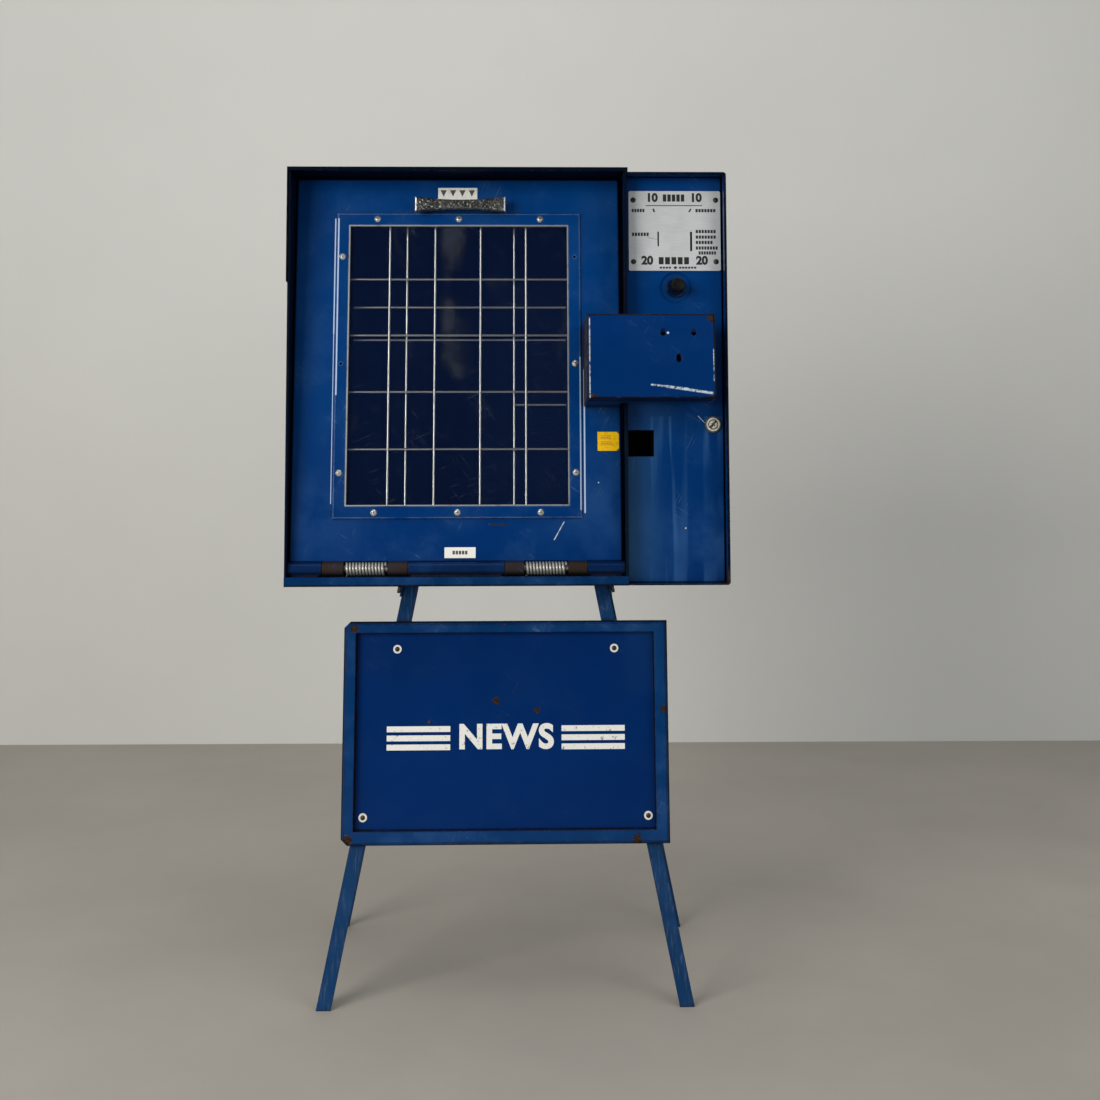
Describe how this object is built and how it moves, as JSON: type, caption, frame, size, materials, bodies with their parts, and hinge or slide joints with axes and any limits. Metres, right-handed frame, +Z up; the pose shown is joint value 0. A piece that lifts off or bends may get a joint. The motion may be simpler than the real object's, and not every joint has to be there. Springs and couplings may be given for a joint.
{
  "type": "newspaper vending box",
  "caption": "Coin-operated newspaper box with a sloping windowed drop-down door, a side coin unit, and a splayed angle-iron stand that carries a display card.",
  "frame": {"origin": "on the floor, at the middle of the overall footprint", "axes": "+Z up, the door and coin slots face -Y, +X is to the right of someone facing the door"},
  "size_m": [0.5795, 0.4336, 1.086],
  "materials": {
    "blue_enamel": "chipped gloss enamel",
    "door_enamel": "scratched gloss enamel",
    "stand_enamel": "worn brush-painted enamel",
    "card_blue": "satin enamel",
    "inner_steel": "galvanised",
    "bright_wire": "plated wire",
    "spring_steel": "oiled",
    "handle_metal": "dark pewter plate",
    "screw_metal": "zinc plated",
    "plate_aluminium": "brushed",
    "clear_sheet": "scratched clear acrylic",
    "black_plastic": "gloss",
    "lock_metal": "nickel",
    "brass": "dull",
    "white_paper": "matte label",
    "yellow_vinyl": "worn vinyl",
    "white_washer": "nylon"
  },
  "bodies": {
    "cabinet": {"left_side_panel": "blue_enamel", "divider_panel": "blue_enamel", "floor_panel": "blue_enamel", "back_panel": "blue_enamel", "rain_hood": "blue_enamel", "cabinet_rivets": "blue_enamel", "coin_housing": "blue_enamel", "coin_panel": "blue_enamel", "hinge_sleeves": "blue_enamel", "button_guide": "blue_enamel", "stand_rails": "stand_enamel", "front_left_leg": "stand_enamel", "front_right_leg": "stand_enamel", "rear_left_leg": "stand_enamel", "rear_right_leg": "stand_enamel", "side_braces": "stand_enamel", "rear_brace": "stand_enamel", "card_frame": "stand_enamel", "card_panel": "card_blue", "coin_mech_plate": "inner_steel", "coin_chutes": "inner_steel", "coin_return_cup": "inner_steel", "cash_box": "inner_steel", "latch_guide": "inner_steel", "door_springs": "spring_steel", "latch_spring": "spring_steel", "hinge_rod": "spring_steel", "plate_screws": "screw_metal", "card_screws": "screw_metal", "stand_bolts": "screw_metal", "stand_nuts": "screw_metal", "lock_nut": "screw_metal", "price_plate": "plate_aluminium", "lock_housing": "lock_metal", "card_washers": "white_washer"},
    "door": {"door_panel": "door_enamel", "door_knuckles": "door_enamel", "window_frame": "door_enamel", "window_trim": "bright_wire", "window_pane": "clear_sheet", "window_screws": "screw_metal", "window_nuts": "screw_metal", "wire_guard": "bright_wire", "guard_clips": "inner_steel", "bail_clips": "inner_steel", "pull_handle": "handle_metal", "handle_screws": "screw_metal", "latch_cover": "door_enamel", "cover_rivets": "door_enamel", "door_strike": "inner_steel", "pull_label": "white_paper", "asset_label": "white_paper", "yellow_sticker": "yellow_vinyl"},
    "display_bail": {"paper_bail": "bright_wire"},
    "return_plunger": {"return_button": "black_plastic"},
    "return_gate": {"return_lever": "screw_metal"},
    "latch": {"latch_bolt": "screw_metal"},
    "coin_release": {"release_lever": "screw_metal"},
    "lock_cylinder": {"lock_plug": "brass", "lock_cam": "lock_metal"}
  },
  "joints": [
    {"name": "door_hinge", "type": "hinge", "parent": "cabinet", "child": "door", "pos_m": [-0.0017, -0.1411, 0.5605], "axis": [1, 0, 0], "range_deg": [0, 85], "stiffness_Nm_per_rad": 3},
    {"name": "bail_hinge", "type": "hinge", "parent": "door", "child": "display_bail", "pos_m": [-0.0017, -0.11331, 0.61678], "axis": [-1, 0, 0], "range_deg": [0, 25], "stiffness_Nm_per_rad": 0.4},
    {"name": "return_push", "type": "slide", "parent": "cabinet", "child": "return_plunger", "axis": [0, 1, 0], "range_m": [0, 0.008], "stiffness_N_per_m": 300},
    {"name": "return_gate_pivot", "type": "hinge", "parent": "cabinet", "child": "return_gate", "pos_m": [0.2248, -0.0901, 0.962], "axis": [1, 0, 0], "range_deg": [0, 17.1]},
    {"name": "latch_slide", "type": "slide", "parent": "cabinet", "child": "latch", "axis": [-1, 0, 0], "range_m": [0, 0.014]},
    {"name": "release_pivot", "type": "hinge", "parent": "cabinet", "child": "coin_release", "pos_m": [0.1905, -0.0796, 0.86451], "axis": [0, 1, 0], "range_deg": [0, 22.3]},
    {"name": "lock_turn", "type": "hinge", "parent": "cabinet", "child": "lock_cylinder", "pos_m": [0.2724, -0.1301, 0.7474], "axis": [0, 1, 0], "range_deg": [0, 90]}
  ],
  "couplings": [
    {"joint": "return_gate_pivot", "follows": "return_push", "rad_per_m": 37.1},
    {"joint": "release_pivot", "follows": "latch_slide", "rad_per_m": 27.427}
  ]
}
